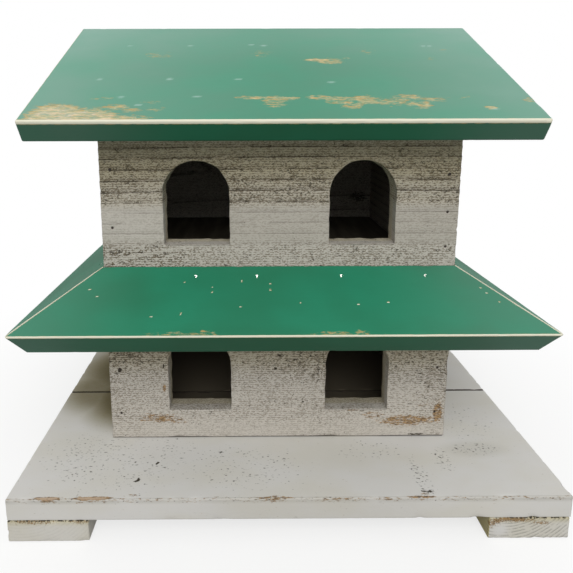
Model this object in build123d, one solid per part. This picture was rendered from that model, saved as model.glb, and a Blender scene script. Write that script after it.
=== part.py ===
from build123d import *
import os
from math import cos, radians, sin, sqrt, tan

# Two-storey birdhouse of nailed boards on a planked base. Millimetres, +Z up, the front faces -Y.
# The origin is on the ground, under the middle of the base.

# Boards
board = 19.0
arris_ease = 1.0

# Base: planks laid left to right over two cleats that run front to back
base_width = 449.0
porch = 69.0
plank_width = 139.7
plank_gap = 0.6
plank_names = ("front", "middle", "rear")
cleat_width = 65.0

# House: the same plan for both storeys, standing a little left of the base's middle
house_width = 310.0
house_depth = 235.0
house_offset_x = -4.4
storey_height = 139.7

# Doorways: straight sides under a half-round arch, two in each front wall
door_width = 57.0
door_height = 73.0
door_sill = 28.0
door_centre = 72.0

# Skirt roof round the middle floor, of thicker boards, mitred at its four hips
skirt_board = 22.0
skirt_pitch = 30.5
skirt_overhang = 60.0
skirt_rise_on_wall = 8.5
skirt_eave_chamfer = 1.6
hip_gap = 0.8

# Top roof: a gable over the side walls
roof_pitch = 30.0
roof_eave_overhang = 45.0
roof_verge_overhang = 46.5
roof_eave_chamfer = 2.6

# Finishing nails, punched a little below the wood. Each is as long as its seat and its bite.
# Their round form is drawn with a few flat sides, because there are many of them.
nail_sides = 8
nail_shank_radius = 1.1
nail_head_radius = 1.7
nail_head_thickness = 1.0
nail_sink = 0.7
nail_clearance = 0.1
nail_bite = 26.0
base_nail_cover = 5.0
base_nail_shares = (1 / 6, 5 / 6)
lower_nail_heights = ((25.0, 69.0, 112.0), (25.0, 69.0, 112.0))
upper_nail_heights = ((43.0, 94.0), (25.0, 56.0, 89.0))
skirt_nail_length = 38.0
skirt_nail_from_wall = 10.5
skirt_nail_entry = 3.5
skirt_nail_shares = (-0.47, -0.13, 0.34, 0.81)
roof_nail_from_ridge = 27.0
roof_nail_from_wall = 22.0

# Levels, from the ground up
plank_bottom = board
plank_top = plank_bottom + board
lower_top = plank_top + storey_height
upper_foot = lower_top + board
upper_top = upper_foot + storey_height

# Plan of the base and the house
base_depth = house_depth + 2 * porch
house_left = house_offset_x - house_width / 2
house_right = house_offset_x + house_width / 2
house_front = -house_depth / 2
house_back = house_depth / 2
room_front = house_front + board
room_back = house_back - board
side_wall_middles = (house_left + board / 2, house_right - board / 2)

# Skirt: its top face meets the wall at skirt_top
skirt_top = upper_foot + skirt_rise_on_wall
skirt_slope = tan(radians(skirt_pitch))
skirt_plumb = skirt_board / cos(radians(skirt_pitch))

# Nail lengths: a base nail stops short of the cleat's underside, the others bite into the next board
base_nail_length = 2 * board - base_nail_cover
board_nail_length = board + nail_bite

# Top roof: its underside meets the outer face of the front wall at the wall's top edge
roof_slope = tan(radians(roof_pitch))
roof_plumb = board / cos(radians(roof_pitch))
ridge_underside = upper_top + house_depth / 2 * roof_slope


def block(x_low, x_high, y_low, y_high, z_low, z_high):
    """A square-edged board between two opposite corners."""
    middle = ((x_low + x_high) / 2, (y_low + y_high) / 2, (z_low + z_high) / 2)
    return Pos(*middle) * Box(x_high - x_low, y_high - y_low, z_high - z_low)


def extrude_along_x(outline, x_low, x_high):
    """A prism whose outline is given as (y, z) points and which runs from x_low to x_high."""
    section = make_face(Polyline([(0, y, z) for y, z in outline], close=True))
    return Pos(x_low, 0, 0) * extrude(section, amount=x_high - x_low, dir=(1, 0, 0))


def roof_underside(y):
    """Height of the top roof's underside over the line y."""
    return ridge_underside - abs(y) * roof_slope


def plank_edges():
    """The front and rear edge of each plank: full boards from the front, the last ripped to what is left."""
    edges = []
    front = -base_depth / 2
    for _ in plank_names[:-1]:
        edges.append((front, front + plank_width))
        front += plank_width + plank_gap
    edges.append((front, base_depth / 2))
    return edges


# Nails: each is a point on the wood's surface, a driving direction and a length


def rod(radius, low, high):
    """An upright rod between two heights, its round section drawn with flat sides."""
    return Pos(0, 0, low) * extrude(RegularPolygon(radius, nail_sides), amount=high - low)


def driven(shape, point, aim):
    """The upright shape with its foot at the point and its top turned in the driving direction."""
    return Plane(origin=point, x_dir=(1, 0, 0), z_dir=aim) * shape


def nail(point, aim, length):
    """A shank under a flat head, driven from the point until the head is below the surface."""
    shank = rod(nail_shank_radius, nail_sink, length)
    head = rod(nail_head_radius, nail_sink, nail_sink + nail_head_thickness)
    return driven(shank + head, point, aim)


def nail_hole(point, aim, length):
    """The room that the nail takes, with its clearance, open to the outside above the head."""
    radius = nail_head_radius + nail_clearance
    shank = rod(nail_shank_radius + nail_clearance, 0, length + nail_clearance)
    mouth = rod(radius, -radius, nail_sink + nail_head_thickness + nail_clearance)
    return driven(shank + mouth, point, aim)


def nail_group(places, length):
    """One separate solid for each nail."""
    return Compound([solid for point, aim in places for solid in nail(point, aim, length).solids()])


def bored(piece, places, length):
    """The board with a hole for every nail that reaches it."""
    for point, aim in places:
        piece = piece - nail_hole(point, aim, length)
    return piece


# Where the nails go

def base_nail_places():
    """Down through each plank into both cleats, two nails at each crossing."""
    places = []
    for front, rear in plank_edges():
        for side in (-1, 1):
            x = side * (base_width / 2 - cleat_width / 2)
            for share in base_nail_shares:
                places.append(((x, front + share * (rear - front), plank_top), (0, 0, -1)))
    return places


def foot_nail_places():
    """Up through the base into the middle of the lower side walls' feet."""
    places = []
    for x in side_wall_middles:
        for y in (house_front / 2, house_back / 2):
            places.append(((x, y, plank_bottom), (0, 0, 1)))
    return places


def wall_nail_places(foot, side_heights):
    """Through the front and back walls into the ends of the left and the right side wall."""
    places = []
    for x, heights in zip(side_wall_middles, side_heights):
        for height in heights:
            places.append(((x, house_front, foot + height), (0, 1, 0)))
            places.append(((x, house_back, foot + height), (0, -1, 0)))
    return places


def lower_nail_places():
    """The wall nails of the lower storey."""
    return wall_nail_places(plank_top, lower_nail_heights)


def upper_nail_places():
    """The wall nails of the upper storey."""
    return wall_nail_places(upper_foot, upper_nail_heights)


def skirt_nail_places(wall_length):
    """In a row below the skirt's top edge, each leaning down into the middle floor's edge."""
    height = skirt_top - skirt_nail_from_wall * skirt_slope
    aim = (0, skirt_nail_from_wall, upper_foot - skirt_nail_entry - height)
    return [((share * wall_length / 2, -skirt_nail_from_wall, height), aim) for share in skirt_nail_shares]


def roof_nail_places():
    """Square to each slope, down into the sloping tops of the side walls."""
    rise = sin(radians(roof_pitch))
    run = cos(radians(roof_pitch))
    places = []
    for x in side_wall_middles:
        for side in (-1, 1):
            for y in (roof_nail_from_ridge, room_back - roof_nail_from_wall):
                surface = roof_underside(y) + roof_plumb
                places.append(((x, side * y, surface), (0, -side * rise, -run)))
    return places


# Base

def base_plank(front, rear):
    """One plank of the base, its long top edges eased."""
    outline = [
        (front, plank_bottom),
        (rear, plank_bottom),
        (rear, plank_top - arris_ease),
        (rear - arris_ease, plank_top),
        (front + arris_ease, plank_top),
        (front, plank_top - arris_ease),
    ]
    plank = extrude_along_x(outline, -base_width / 2, base_width / 2)
    plank = bored(plank, base_nail_places(), base_nail_length)
    return bored(plank, foot_nail_places(), board_nail_length)


def cleat(side):
    """A board on edge of the base, which lifts the planks off the ground."""
    outer = side * base_width / 2
    inner = outer - side * cleat_width
    piece = block(min(outer, inner), max(outer, inner), -base_depth / 2, base_depth / 2, 0, plank_bottom)
    return bored(piece, base_nail_places(), base_nail_length)


# Walls

def doorways(foot):
    """The two arched cuts through a front wall that stands at the given height."""
    arch_radius = door_width / 2
    sill = foot + door_sill
    straight = door_height - arch_radius
    cuts = []
    for side in (-1, 1):
        x = house_offset_x + side * door_centre
        opening = Pos(x, house_front + board / 2, sill + straight / 2) * Box(door_width, board, straight)
        arch = Pos(x, house_front + board / 2, sill + straight) * Rot(90, 0, 0) * Cylinder(arch_radius, board)
        cuts.append(opening + arch)
    return cuts


def lower_end_wall(outer, inner):
    """A full-width wall of the lower storey, square all round."""
    wall = block(house_left, house_right, min(outer, inner), max(outer, inner), plank_top, lower_top)
    return bored(wall, lower_nail_places(), board_nail_length)


def upper_end_wall(outer, inner):
    """A full-width wall of the upper storey, its top bevelled to the roof's underside."""
    outline = [
        (outer, upper_foot),
        (inner, upper_foot),
        (inner, roof_underside(inner)),
        (outer, roof_underside(outer)),
    ]
    wall = extrude_along_x(outline, house_left, house_right)
    return bored(wall, upper_nail_places(), board_nail_length)


def lower_cross_board(x_middle):
    """A lower board that stands front to back between the end walls."""
    return block(x_middle - board / 2, x_middle + board / 2, room_front, room_back, plank_top, lower_top)


def lower_side_wall(x_middle):
    """A lower side wall, nailed through the end walls and the base."""
    wall = bored(lower_cross_board(x_middle), lower_nail_places(), board_nail_length)
    return bored(wall, foot_nail_places(), board_nail_length)


def upper_cross_board(x_middle):
    """An upper board between the end walls, whose gable top follows the roof's underside."""
    outline = [
        (room_front, upper_foot),
        (room_back, upper_foot),
        (room_back, roof_underside(room_back)),
        (0, ridge_underside),
        (room_front, roof_underside(room_front)),
    ]
    return extrude_along_x(outline, x_middle - board / 2, x_middle + board / 2)


def upper_side_wall(x_middle):
    """A gable wall, nailed through the end walls and the roof."""
    wall = bored(upper_cross_board(x_middle), upper_nail_places(), board_nail_length)
    return bored(wall, roof_nail_places(), board_nail_length)


def middle_floor():
    """The floor between the storeys, flush with the walls; the skirt is nailed to its edges."""
    floor = block(house_left, house_right, house_front, house_back, lower_top, upper_foot)
    for place, wall_length in skirt_sides.values():
        for point, aim in skirt_nail_places(wall_length):
            floor = floor - place * nail_hole(point, aim, skirt_nail_length)
    return floor


# Skirt roof

def skirt_panel(wall_length):
    """One panel in its own place: the wall is the line y = 0 and the panel slopes down towards -y.

    Its eave is cut square to the slope and its ends are plumb mitres at 45 degrees in plan.
    """
    rise = sin(radians(skirt_pitch))
    run = cos(radians(skirt_pitch))
    eave = skirt_top - skirt_overhang * skirt_slope
    outline = [
        (0, skirt_top),
        (0, skirt_top - skirt_plumb),
        (-skirt_overhang + skirt_board * rise, eave - skirt_board * run),
        (-skirt_overhang + skirt_eave_chamfer * rise, eave - skirt_eave_chamfer * run),
        (-skirt_overhang + skirt_eave_chamfer * run, eave + skirt_eave_chamfer * rise),
    ]
    half_wall = wall_length / 2
    half_eave = half_wall + skirt_overhang
    panel = extrude_along_x(outline, -half_eave, half_eave)
    trim = hip_gap / sqrt(2)
    plan = [
        (-half_wall + trim, 0, 0),
        (half_wall - trim, 0, 0),
        (half_eave - trim, -skirt_overhang, 0),
        (-half_eave + trim, -skirt_overhang, 0),
    ]
    mitre = extrude(make_face(Polyline(plan, close=True)), amount=skirt_top + board, dir=(0, 0, 1))
    panel = panel & mitre
    return bored(panel, skirt_nail_places(wall_length), skirt_nail_length)


def skirt_nails(wall_length):
    """The nails of one panel, in that panel's own place."""
    return nail_group(skirt_nail_places(wall_length), skirt_nail_length)


# Top roof

def roof_panel(side):
    """One slope of the top roof: square verges, a plumb ridge joint, an eave cut square to the slope."""
    rise = sin(radians(roof_pitch))
    run = cos(radians(roof_pitch))
    half_span = house_depth / 2 + roof_eave_overhang
    eave = roof_underside(half_span) + roof_plumb
    outline = [
        (0, ridge_underside),
        (0, ridge_underside + roof_plumb),
        (side * (half_span - roof_eave_chamfer * run), eave + roof_eave_chamfer * rise),
        (side * (half_span - roof_eave_chamfer * rise), eave - roof_eave_chamfer * run),
        (side * (half_span - board * rise), eave - board * run),
    ]
    panel = extrude_along_x(outline, house_left - roof_verge_overhang, house_right + roof_verge_overhang)
    return bored(panel, roof_nail_places(), board_nail_length)


# Put the pieces together

front_wall_faces = (house_front, room_front)
back_wall_faces = (house_back, room_back)
skirt_sides = {
    "front": (Pos(house_offset_x, house_front, 0), house_width),
    "right": (Pos(house_right, 0, 0) * Rot(0, 0, 90), house_depth),
    "back": (Pos(house_offset_x, house_back, 0) * Rot(0, 0, 180), house_width),
    "left": (Pos(house_left, 0, 0) * Rot(0, 0, 270), house_depth),
}

parts = {}
for plank_name, (plank_front, plank_rear) in zip(plank_names, plank_edges()):
    parts["base_plank_" + plank_name] = base_plank(plank_front, plank_rear)
parts["cleat_left"] = cleat(-1)
parts["cleat_right"] = cleat(1)

parts["lower_front_wall"] = lower_end_wall(*front_wall_faces) - doorways(plank_top)
parts["lower_back_wall"] = lower_end_wall(*back_wall_faces)
parts["lower_left_wall"] = lower_side_wall(side_wall_middles[0])
parts["lower_right_wall"] = lower_side_wall(side_wall_middles[1])
parts["lower_partition"] = lower_cross_board(house_offset_x)

parts["middle_floor"] = middle_floor()
for side_name, (place, wall_length) in skirt_sides.items():
    parts["skirt_" + side_name] = place * skirt_panel(wall_length)

parts["upper_front_wall"] = upper_end_wall(*front_wall_faces) - doorways(upper_foot)
parts["upper_back_wall"] = upper_end_wall(*back_wall_faces)
parts["upper_left_wall"] = upper_side_wall(side_wall_middles[0])
parts["upper_right_wall"] = upper_side_wall(side_wall_middles[1])
parts["upper_partition"] = upper_cross_board(house_offset_x)

parts["roof_front"] = roof_panel(-1)
parts["roof_back"] = roof_panel(1)

parts["base_nails"] = nail_group(base_nail_places(), base_nail_length)
parts["foot_nails"] = nail_group(foot_nail_places(), board_nail_length)
parts["lower_wall_nails"] = nail_group(lower_nail_places(), board_nail_length)
parts["upper_wall_nails"] = nail_group(upper_nail_places(), board_nail_length)
parts["skirt_nails"] = Compound([
    place * solid
    for place, wall_length in skirt_sides.values()
    for solid in skirt_nails(wall_length).solids()
])
parts["roof_nails"] = nail_group(roof_nail_places(), board_nail_length)

os.makedirs("parts", exist_ok=True)
for node, shape in parts.items():
    export_step(shape, f"parts/{node}.step")
    print(node, len(shape.solids()), "solids", round(shape.volume / 1000, 1), "cm3")
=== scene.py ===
# %% [markdown]
# # A painted wooden birdhouse
# The plain model of the house comes from a CAD file: planks on two cleats, two storeys of boards
# with arched doorways, a skirt roof and a gable roof. This lesson gives its boards the look of
# rough-sawn wood under old paint. Every length below is in millimetres until a mesh is made.

# %% Load the frame
from functools import partial
from itertools import product

import bpy
import numpy as np
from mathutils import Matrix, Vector


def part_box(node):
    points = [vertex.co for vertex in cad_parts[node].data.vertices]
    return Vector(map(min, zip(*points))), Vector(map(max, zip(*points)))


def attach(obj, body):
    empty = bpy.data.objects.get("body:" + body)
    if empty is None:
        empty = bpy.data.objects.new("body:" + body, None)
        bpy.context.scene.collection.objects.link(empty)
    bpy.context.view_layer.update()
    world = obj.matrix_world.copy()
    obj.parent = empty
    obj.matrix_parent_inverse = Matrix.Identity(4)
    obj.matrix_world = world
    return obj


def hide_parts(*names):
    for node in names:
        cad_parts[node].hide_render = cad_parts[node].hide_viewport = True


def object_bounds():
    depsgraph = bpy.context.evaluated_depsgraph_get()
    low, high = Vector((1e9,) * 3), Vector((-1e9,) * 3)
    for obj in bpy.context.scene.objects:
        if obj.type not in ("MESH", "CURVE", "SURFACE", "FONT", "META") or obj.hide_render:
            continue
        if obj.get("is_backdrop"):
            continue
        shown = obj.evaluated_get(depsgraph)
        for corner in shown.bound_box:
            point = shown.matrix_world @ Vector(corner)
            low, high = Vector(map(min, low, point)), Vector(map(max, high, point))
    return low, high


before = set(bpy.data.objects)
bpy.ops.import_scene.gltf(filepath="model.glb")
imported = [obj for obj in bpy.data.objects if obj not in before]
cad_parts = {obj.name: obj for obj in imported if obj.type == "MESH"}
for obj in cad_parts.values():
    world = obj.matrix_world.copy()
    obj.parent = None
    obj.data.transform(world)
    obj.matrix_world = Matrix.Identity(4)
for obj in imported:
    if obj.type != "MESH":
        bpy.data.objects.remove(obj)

MM = 0.001
cad_low, cad_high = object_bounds()
print("the CAD box in mm:", [round(x / MM, 1) for x in (*cad_low, *cad_high)])

# %% [markdown]
# ## The camera
# The photograph is 573 pixels wide and high. Its vanishing lines meet left of its middle and high up,
# so the lens looks down a little and the picture is a shifted crop. The camera comes first, because
# every later choice is judged through it.

# %% Camera
IMAGE_WIDTH = 573
FOCAL_PIXELS = 460.0
LENS_CENTRE = (249.1, 180.0)
CAMERA_PLACE = (-32.6, -506.2, 341.7)
CAMERA_PITCH = 8.81
CAMERA_YAW = -0.27
CAMERA_ROLL = 0.16
SENSOR_WIDTH = 36.0

camera_data = bpy.data.cameras.new("camera")
camera_data.sensor_width = SENSOR_WIDTH
camera_data.lens = FOCAL_PIXELS / IMAGE_WIDTH * SENSOR_WIDTH
camera_data.shift_x = (IMAGE_WIDTH / 2 - LENS_CENTRE[0]) / IMAGE_WIDTH
camera_data.shift_y = (LENS_CENTRE[1] - IMAGE_WIDTH / 2) / IMAGE_WIDTH
camera_data.clip_start = 0.01
camera = bpy.data.objects.new("camera", camera_data)
camera.location = [x * MM for x in CAMERA_PLACE]
camera.rotation_euler = np.radians((90 - CAMERA_PITCH, CAMERA_ROLL, CAMERA_YAW))
bpy.context.scene.collection.objects.link(camera)
bpy.context.scene.camera = camera
print("lens", round(camera_data.lens, 2), "mm, shift", round(camera_data.shift_x, 4),
      round(camera_data.shift_y, 4))

# %% [markdown]
# ## Colours and nodes
# Colours are written as sRGB hex, the way a picture editor shows them. Blender mixes light in linear
# values, so one function converts them. Shader nodes could be wired by hand in the editor, but here
# one function adds every node with its settings and links, so a material reads as a short list. The
# helpers after it join such nodes into what a painter would name: a sum of effects, coats laid one
# over another, and the grain of wood.

# %% Helpers for materials
def linear(hex_colour):
    """sRGB to linear: below 0.04045 divide by 12.92, above it ((c + 0.055) / 1.055) to the power 2.4."""
    c = np.array([int(hex_colour[i:i + 2], 16) for i in (1, 3, 5)]) / 255
    c = np.where(c <= 0.04045, c / 12.92, ((c + 0.055) / 1.055) ** 2.4)
    return (*(float(x) for x in c), 1.0)


def add(tree, kind, *inputs, output=0, ramp=(), **settings):
    """One node, and the socket it gives. Inputs come in the node's own order or as a dict by name;
    each is a number, a colour or the socket of another node."""
    node = tree.nodes.new("ShaderNode" + kind)
    for name, value in settings.items():
        setattr(node, name, value)
    named = inputs[0] if inputs and isinstance(inputs[0], dict) else dict(enumerate(inputs))
    for name, value in named.items():
        if isinstance(value, bpy.types.NodeSocket):
            tree.links.new(value, node.inputs[name])
        else:
            node.inputs[name].default_value = value
    if ramp:
        stops = node.color_ramp.elements
        while len(stops) < len(ramp):
            stops.new(0.5)
        for stop, (place, level) in zip(stops, ramp):
            stop.position = place
            stop.color = (level, level, level, 1)
    return node.outputs[output] if node.outputs else None


def new_material(name):
    """An empty material, and the add function tied to its node tree."""
    material = bpy.data.materials.new(name)
    material.use_nodes = True
    material.node_tree.nodes.clear()
    return material, partial(add, material.node_tree)


def fields_of(node, *names):
    """The sockets of values that the mesh carries at its vertices."""
    return [node("Attribute", output="Fac", attribute_name=name) for name in names]


def total(node, start, *terms):
    """The start plus each term's socket times its weight."""
    for value, weight in terms:
        start = node("Math", value, weight, start, operation="MULTIPLY_ADD")
    return start


def coats(node, colour, *layers):
    """Colours laid one over another; a layer is its share, its colour and its blend if not plain."""
    for share, coat, *blend in layers:
        # a colour Mix has its factor in socket 0, its colours in 6 and 7 and its result in 2
        colour = node("Mix", {0: share, 6: colour, 7: coat}, output=2, data_type="RGBA",
                      blend_type=blend[0] if blend else "MIX")
    return colour


def grain_of(node, size, stretch, detail=2.0, roughness=0.5):
    """Noise whose spots are size mm across, drawn out by a factor along each axis of the object."""
    place = node("TexCoord", output="Object")
    scaled = node("Mapping", {"Vector": place, "Scale": [1 / (size * MM * s) for s in stretch]})
    return node("TexNoise", {"Vector": scaled, "Scale": 1.0, "Detail": detail, "Roughness": roughness})


def drawn_out(axis, factor):
    """Stretch factors of noise that is longer along one axis of the object."""
    return [factor if name == axis else 1.0 for name in "XYZ"]


print("white in linear values:", linear("#ffffff")[:3])

# %% [markdown]
# ## The stage
# A studio sheet lies under the house. Near the house it is a matt floor that holds its shadow, and
# farther away it turns into plain white for the camera and for reflections, so no horizon shows. For
# the light that it throws back it is grey, because a bright floor would light the eaves from below. The
# stage isn't part of the house, so its lengths are in metres.

# %% Floor, world and lamps
WHITE = linear("#ffffff")
FLOOR_TINT = linear("#f4f4f2")
FLOOR_BOUNCE = linear("#a2a29e")
FLOOR_NEAR = 0.25
FLOOR_FAR = 0.50
FLOOR_PLAIN = 0.70
FLOOR_HALF_WIDTH = 30.0
FLOOR_DROP = 0.0002
WORLD_LEVEL = 0.68
KEY_PLACE = (0.05, -1.75, 1.7)
KEY_TARGET = (0.0, -0.1, 0.2)
KEY_SIZE = 1.5
KEY_WATTS = 28.0


def seen_directly(node):
    """1 for camera, glossy and transmission rays, 0 for the rays that light the object."""
    seen = 0.0
    for ray in ("Camera", "Glossy", "Transmission"):
        seen = node("Math", node("LightPath", output=f"Is {ray} Ray"), seen, operation="MAXIMUM")
    return seen


def floor_material():
    """Matt, so it takes a soft shadow; plain white grows from FLOOR_PLAIN to 1 with the distance."""
    material, node = new_material("matt_white_studio_sheet")
    seen = seen_directly(node)
    matt = node("BsdfDiffuse", coats(node, FLOOR_BOUNCE, (seen, FLOOR_TINT)))
    plain = node("Emission", WHITE, 1.0)
    reach = node("VectorMath", node("TexCoord", output="Object"), output="Value", operation="LENGTH")
    share = node("MapRange", reach, FLOOR_NEAR, FLOOR_FAR, FLOOR_PLAIN, 1.0)
    share = node("Math", share, seen, operation="MULTIPLY")
    node("OutputMaterial", node("MixShader", share, matt, plain))
    return material


def make_floor(half_width, drop):
    """A flat square, a hair below the cleats' feet."""
    mesh = bpy.data.meshes.new("floor")
    square = ((-1, -1), (1, -1), (1, 1), (-1, 1))
    corners = [(x * half_width, y * half_width, -drop) for x, y in square]
    mesh.from_pydata(corners, [], [(0, 1, 2, 3)])
    mesh.materials.append(floor_material())
    floor = bpy.data.objects.new("floor", mesh)
    bpy.context.scene.collection.objects.link(floor)
    floor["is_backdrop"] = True


def make_world(level):
    """Even light of the given level, and plain white where the world itself is seen."""
    world = bpy.data.worlds.new("studio")
    bpy.context.scene.world = world
    world.use_nodes = True
    world.node_tree.nodes.clear()
    node = partial(add, world.node_tree)
    strength = node("MapRange", seen_directly(node), 0.0, 1.0, level, 1.0)
    node("OutputWorld", node("Background", WHITE, strength))


def make_lamp(name, place, target, size, power):
    """A square soft lamp in metres and watts that faces its target."""
    data = bpy.data.lights.new(name, "AREA")
    data.size = size
    data.energy = power
    lamp = bpy.data.objects.new(name, data)
    lamp.location = place
    lamp.rotation_euler = (Vector(target) - Vector(place)).to_track_quat("-Z", "Y").to_euler()
    bpy.context.scene.collection.objects.link(lamp)


make_floor(FLOOR_HALF_WIDTH, FLOOR_DROP)
make_world(WORLD_LEVEL)
make_lamp("window_light", KEY_PLACE, KEY_TARGET, KEY_SIZE, KEY_WATTS)
bpy.context.scene.view_settings.view_transform = "Standard"
print("a floor", 2 * FLOOR_HALF_WIDTH, "m wide, and a window light of", KEY_WATTS, "W")

# %% [markdown]
# ## Seeded noise
# Wood is never even. Value noise gives smooth random heights: random numbers sit on the corners of a
# lattice, and each point takes a blend of the eight corners round it. The table is seeded, so the
# wood comes out the same each time.

# %% Noise on whole arrays
RANDOM = np.random.default_rng(20)
TABLE = 256
SHUFFLE = RANDOM.permutation(TABLE)
HEIGHTS = RANDOM.uniform(-1.0, 1.0, TABLE)
SEED_SHIFT = 19.7  # lattice steps from one seed's place to the next one's
SPOT_CORE = 0.35  # a spot keeps its full strength out to this share of its size


def noise(points, size, seed=0.0):
    """Eight corner values weighted by 3t^2 - 2t^3 along each axis; size is the lattice step in mm."""
    q = points / np.asarray(size, float) + SEED_SHIFT * seed
    cell = np.floor(q).astype(int)
    t = q - cell
    t = t * t * (3 - 2 * t)
    height = np.zeros(len(points))
    for corner in product((0, 1), repeat=3):
        x, y, z = ((cell + corner) % TABLE).T
        weight = np.prod(np.where(corner, t, 1 - t), axis=1)
        height += weight * HEIGHTS[SHUFFLE[(SHUFFLE[(SHUFFLE[x] + y) % TABLE] + z) % TABLE]]
    return height


def smooth(value, low, high):
    """0 below low, 1 above high, and 3t^2 - 2t^3 between."""
    t = np.clip((value - low) / (high - low), 0, 1)
    return t * t * (3 - 2 * t)


def spots(u, v, places):
    """The strongest of some soft ellipses: (u, v, half length, half width, strength in the middle)."""
    strongest = np.zeros(len(u))
    for middle_u, middle_v, length, width, strength in places:
        reach = np.hypot((u - middle_u) / length, (v - middle_v) / width)
        strongest = np.maximum(strongest, strength * (1 - smooth(reach, SPOT_CORE, 1.0)))
    return strongest


sample = noise(RANDOM.uniform(0, 500, (1000, 3)), 9.0)
print("noise runs from", round(sample.min(), 2), "to", round(sample.max(), 2))

# %% [markdown]
# ## Boards as lattices
# A board could be a cube with modifiers, but then its arched cuts and its worn arrises would be hard
# to steer. Here a board is a block of small cells. Cells are left out where a doorway is sawn, and
# the skin is every cell wall between wood and air. The lattice is drawn straight, its arrises are
# rounded, and it is then bent into the board's real form. Fine knots beside each arris carry the
# rounding, a few more sit round each nail, and wide ones save faces between. Boards at the front get
# the smallest cells, and those behind, which show less, get wide ones.

# %% A lattice and its skin
FINE_KNOTS = np.array([0.0, 0.22, 0.55, 1.0, 1.6])
NAIL_KNOTS = np.array([-2.4, -1.6, -0.9, 0.0, 0.9, 1.6, 2.4])


def knots(stops, step, ease, nails=()):
    """Places along a side: the stops, FINE_KNOTS times ease beside them, even steps, NAIL_KNOTS."""
    places = []
    for a, b in zip(stops[:-1], stops[1:]):
        fine = FINE_KNOTS * min(ease, (b - a) / (2.5 * FINE_KNOTS[-1]))
        inner = np.arange(1, max(1, round((b - a - 2 * fine[-1]) / step)))
        count = len(inner) + 1
        places.append(np.concatenate([
            a + fine, a + fine[-1] + (b - a - 2 * fine[-1]) * inner / count, b - fine[::-1]]))
    places += [nail + NAIL_KNOTS for nail in nails]
    return np.unique(np.round(np.concatenate(places), 3))


def lattice_skin(wood):
    """Faces between wood and air: the corners of each run anticlockwise, seen from outside."""
    padded = np.pad(wood, 1).astype(np.int8)
    faces = []
    for axis in range(3):
        second, third = (axis + 1) % 3, (axis + 2) % 3
        change = np.diff(padded, axis=axis)
        for sign in (1, -1):
            at = np.argwhere(change == sign)
            at[:, second] -= 1
            at[:, third] -= 1
            b, c = np.eye(3, dtype=int)[[second, third]]
            corners = np.stack([at, at + b, at + b + c, at + c], axis=1)
            faces.append(corners if sign == -1 else corners[:, ::-1])
    faces = np.concatenate(faces)
    shape = np.array(wood.shape) + 1
    keys, corners = np.unique(np.ravel_multi_index(faces.reshape(-1, 3).T, shape), return_inverse=True)
    return np.stack(np.unravel_index(keys, shape), axis=1), corners.reshape(-1, 4)


def rounded(points, size, radius):
    """Points on a block's skin: each is pushed to the given distance from the block shrunk by it."""
    core = np.clip(points, radius, size - radius)
    out = points - core
    length = np.linalg.norm(out, axis=1, keepdims=True)
    on_skin = np.any((points <= 0) | (points >= size), axis=1)[:, None]
    return np.where(on_skin, core + out * radius / np.maximum(length, 1e-9), points)


def rounded_cut(points, cut, thickness, radius):
    """The same at a sawn cut: side distance and depth, both under the radius, move onto its circle."""
    (left, right), (low, high) = cut
    beside = np.maximum(left - points[:, 0], points[:, 0] - right)
    above = np.maximum(low - points[:, 1], points[:, 1] - high)
    side = np.maximum(beside, above)
    depth = np.minimum(points[:, 2], thickness - points[:, 2])
    near = (side < radius) & (depth < radius) & (side > -1e-6)
    length = np.maximum(np.hypot(side - radius, depth - radius), 1e-9)
    side_step = np.where(near, radius + radius * (side - radius) / length - side, 0)
    depth_step = np.where(near, radius + radius * (depth - radius) / length - depth, 0)
    along = np.where(beside > above, np.sign(points[:, 0] - (left + right) / 2), 0)
    across = np.where(beside > above, 0, np.sign(points[:, 1] - (low + high) / 2))
    inward = np.where(points[:, 2] < thickness / 2, 1, -1)
    return points + np.stack([along * side_step, across * side_step, inward * depth_step], axis=1)


def vertex_normals(points, quads):
    """Cross products of each face's diagonals, added up at its corners and brought to length 1."""
    p = points[quads]
    face = np.cross(p[:, 2] - p[:, 0], p[:, 3] - p[:, 1])
    corners = quads.ravel()
    spread = np.repeat(face, 4, axis=0)
    summed = np.stack([np.bincount(corners, spread[:, i], len(points)) for i in range(3)], axis=1)
    return summed / np.maximum(np.linalg.norm(summed, axis=1, keepdims=True), 1e-12)


test_points, test_quads = lattice_skin(np.ones((3, 2, 1), bool))
print("a test block of 3 x 2 x 1 cells has", len(test_points), "points and", len(test_quads), "faces")

# %% [markdown]
# ## Sizes of the house
# These are the house's real sizes. Where a board lies is read from the frame, so only what a bent
# lattice needs is repeated here: board thickness, roof pitches, doorways and the nails that show.

# %% Sizes
BOARD = 19.0
SKIRT_BOARD = 22.0
ROOF_PITCH = 30.0
SKIRT_PITCH = 30.5
SKIRT_OVERHANG = 60.0
HIP_GAP = 0.8
DOOR_WIDTH = 57.0
DOOR_HEIGHT = 73.0
DOOR_SILL = 28.0
DOOR_CENTRE = 72.0
SKIN = 1.5  # points less than this below a face count as its own
WALL_NAIL_PIT = (0.6, 1.9)  # flat radius and whole radius of the dimple over a nail
SKIRT_NAIL_PIT = (0.3, 1.5)
LOWER_NAIL_HEIGHTS = ((25.0, 69.0, 112.0), (25.0, 69.0, 112.0))
UPPER_NAIL_HEIGHTS = ((43.0, 94.0), (25.0, 56.0, 89.0))
SKIRT_NAIL_SHARES = (-0.47, -0.13, 0.34, 0.81)  # of half the wall, from its middle
SKIRT_NAIL_FROM_WALL = 10.5


def box_of(*nodes):
    """The lowest and highest corner in mm of all these CAD nodes together."""
    boxes = np.array([[list(corner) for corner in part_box(node)] for node in nodes]) / MM
    return boxes[:, 0].min(axis=0), boxes[:, 1].max(axis=0)


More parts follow.
